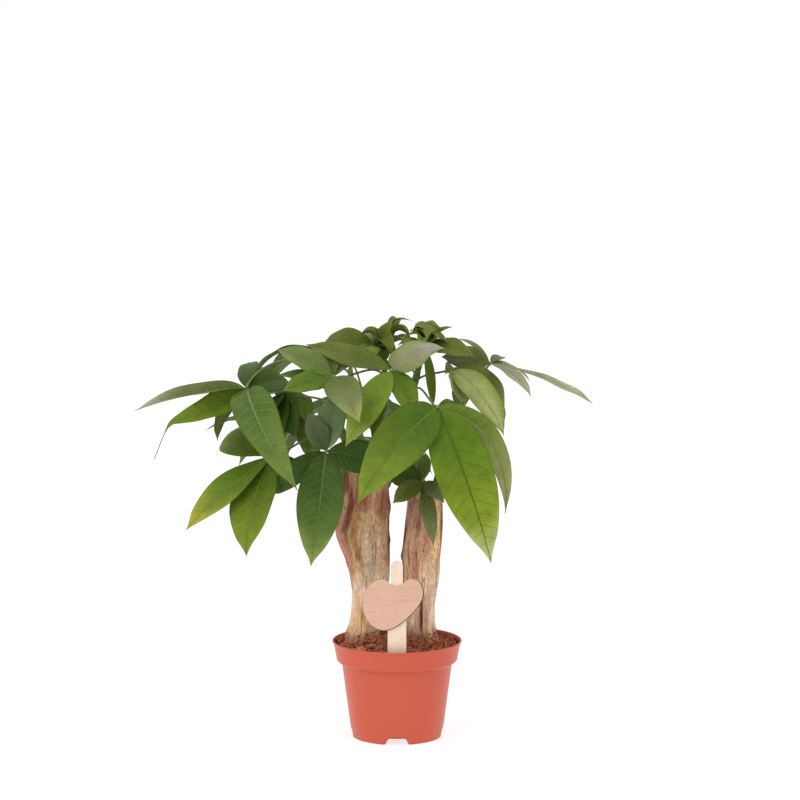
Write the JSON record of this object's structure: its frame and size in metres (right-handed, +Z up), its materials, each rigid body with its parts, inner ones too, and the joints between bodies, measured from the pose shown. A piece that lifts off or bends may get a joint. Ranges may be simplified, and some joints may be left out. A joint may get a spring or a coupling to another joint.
{
  "type": "potted money tree",
  "caption": "Small money tree: thick cut trunks in a tapered plastic nursery pot, with green shoots, fans of long leaflets and a plain wooden plant tag in the soil.",
  "frame": {"origin": "middle of the pot's underside, on the flat boss that is level with its foot ring", "axes": "+Z up along the pot's axis, +X along the widest spread of the leaves, -Y towards the plant tag"},
  "size_m": [0.4192, 0.3081, 0.3894],
  "materials": {
    "pot": "satin terracotta-coloured moulded plastic",
    "soil": "loose crumbs of peat, bark and coconut fibre",
    "bark": "thin finely fissured bark",
    "shoot": "smooth green skin",
    "leaf": "waxy, softly shining",
    "tag_wood": "thin unvarnished plywood"
  },
  "bodies": {
    "root": {"pot": "pot", "soil": "soil", "trunk_left": "bark", "trunk_right": "bark", "shoot_left": "shoot", "shoot_middle": "shoot", "shoot_back_left": "shoot", "shoot_right": "shoot", "shoot_back_right": "shoot", "leaf_far_left": "leaf", "leaf_low_left": "leaf", "leaf_middle_left": "leaf", "leaf_upper_left": "leaf", "leaf_middle": "leaf", "leaf_big_front": "leaf", "leaf_right": "leaf", "leaf_far_right": "leaf", "leaf_top_left": "leaf", "leaf_young_middle": "leaf", "leaf_top_right": "leaf", "leaf_low_front": "leaf", "leaf_inner_left": "leaf", "leaf_back_left": "leaf", "leaf_back": "leaf", "leaf_back_right": "leaf", "leaf_low_right": "leaf", "leaf_low_back_left": "leaf", "leaf_low_back": "leaf", "tag_stake": "tag_wood", "tag_plate": "tag_wood"}
  },
  "joints": []
}
